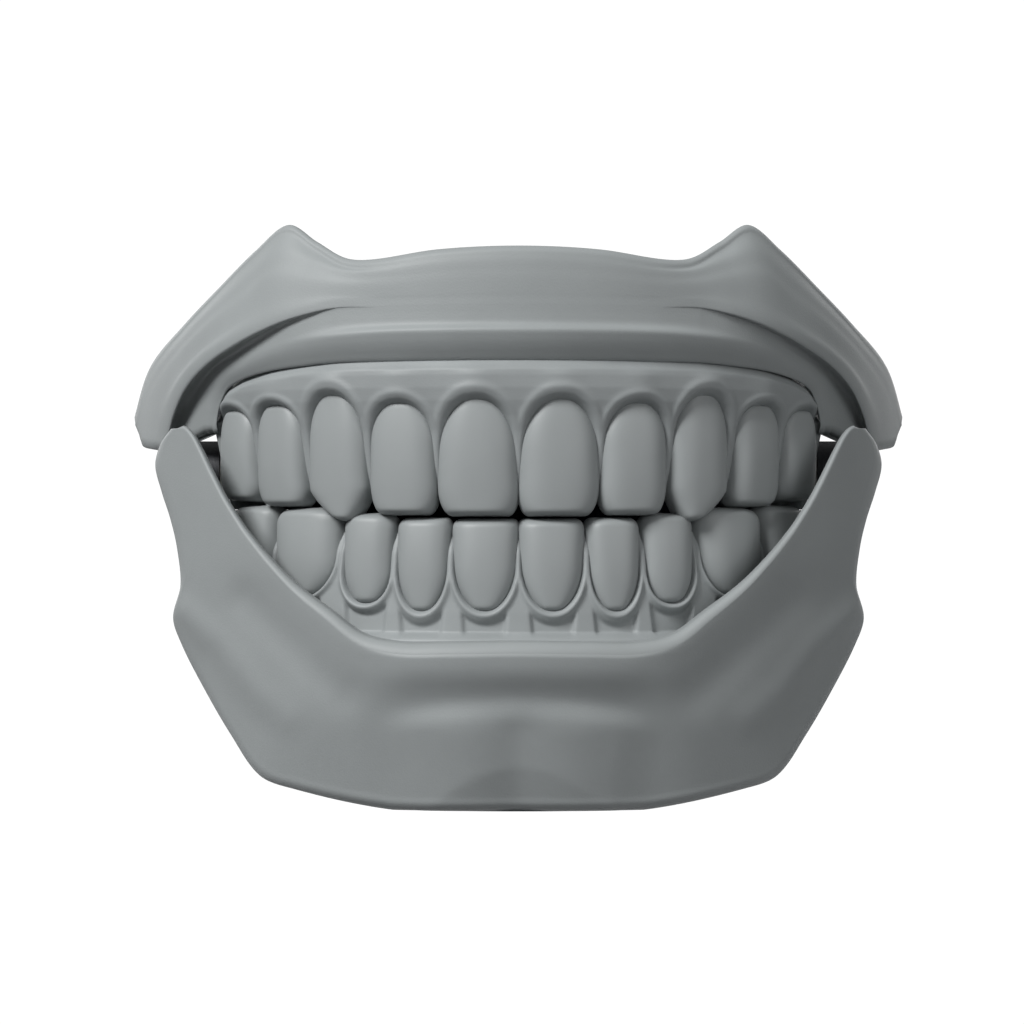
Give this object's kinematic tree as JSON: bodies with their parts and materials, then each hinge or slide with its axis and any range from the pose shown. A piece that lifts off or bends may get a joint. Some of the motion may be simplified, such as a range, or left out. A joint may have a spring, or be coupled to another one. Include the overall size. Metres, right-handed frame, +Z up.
{
  "type": "half-face jaw costume mask",
  "caption": "Half-face costume mask with bared teeth and gums, a hinged lower jaw that springs shut, inner pads and an elastic head strap.",
  "frame": {"origin": "the middle of the wearer's mouth, on the face side of the mask, at the bite line of the two tooth rows", "axes": "+Z up; the grin looks along -Y, so the strap runs towards +Y; +X is the wearer's left"},
  "size_m": [0.168, 0.242, 0.1184],
  "materials": {
    "shell_latex": "matte, plain grey",
    "gum_latex": "matte, plain grey",
    "tooth_latex": "matte with a faint sheen, plain grey",
    "frame_nylon": "matte, dark grey",
    "hardware_steel": "brushed",
    "washer_nylon": "natural",
    "liner_cloth": "stretch cloth, dark navy",
    "elastic_rubber": "matte black",
    "pad_foam": "cloth-faced foam, black",
    "strap_webbing": "woven elastic, black",
    "adjuster_plastic": "satin black"
  },
  "bodies": {
    "upper": {"upper_shell": "shell_latex", "upper_gum": "gum_latex", "upper_frame": "frame_nylon", "upper_left_central_incisor": "tooth_latex", "upper_left_lateral_incisor": "tooth_latex", "upper_left_canine": "tooth_latex", "upper_left_first_premolar": "tooth_latex", "upper_left_second_premolar": "tooth_latex", "upper_right_central_incisor": "tooth_latex", "upper_right_lateral_incisor": "tooth_latex", "upper_right_canine": "tooth_latex", "upper_right_first_premolar": "tooth_latex", "upper_right_second_premolar": "tooth_latex", "hinge_bracket_left": "hardware_steel", "hinge_bracket_right": "hardware_steel", "bracket_rivets": "hardware_steel", "hinge_pin_left": "hardware_steel", "hinge_pin_right": "hardware_steel", "hinge_washer_left": "washer_nylon", "hinge_washer_right": "washer_nylon", "mouth_liner": "liner_cloth", "jaw_elastic_left": "elastic_rubber", "jaw_elastic_right": "elastic_rubber", "nose_pad": "pad_foam", "cheek_pad_left": "pad_foam", "cheek_pad_right": "pad_foam", "strap_anchor_left": "hardware_steel", "strap_anchor_right": "hardware_steel", "anchor_rivets": "hardware_steel", "head_strap": "strap_webbing"},
    "jaw": {"lower_shell": "shell_latex", "lower_gum": "gum_latex", "jaw_frame": "frame_nylon", "chin_pad": "pad_foam", "lower_left_central_incisor": "tooth_latex", "lower_left_lateral_incisor": "tooth_latex", "lower_left_canine": "tooth_latex", "lower_left_first_premolar": "tooth_latex", "lower_left_second_premolar": "tooth_latex", "lower_right_central_incisor": "tooth_latex", "lower_right_lateral_incisor": "tooth_latex", "lower_right_canine": "tooth_latex", "lower_right_first_premolar": "tooth_latex", "lower_right_second_premolar": "tooth_latex"},
    "adjuster": {"strap_adjuster": "adjuster_plastic"}
  },
  "joints": [
    {"name": "jaw_hinge", "type": "hinge", "parent": "upper", "child": "jaw", "pos_m": [0, 0.024, 0.008], "axis": [1, 0, 0], "range_deg": [0, 25], "stiffness_Nm_per_rad": 0.4, "springref_deg": -20.05, "deforming": ["mouth_liner", "jaw_elastic_left", "jaw_elastic_right"]},
    {"name": "adjuster_slide", "type": "slide", "parent": "upper", "child": "adjuster", "axis": [0, 0.9877, 0.1564], "range_m": [-0.012, 0.012]}
  ]
}
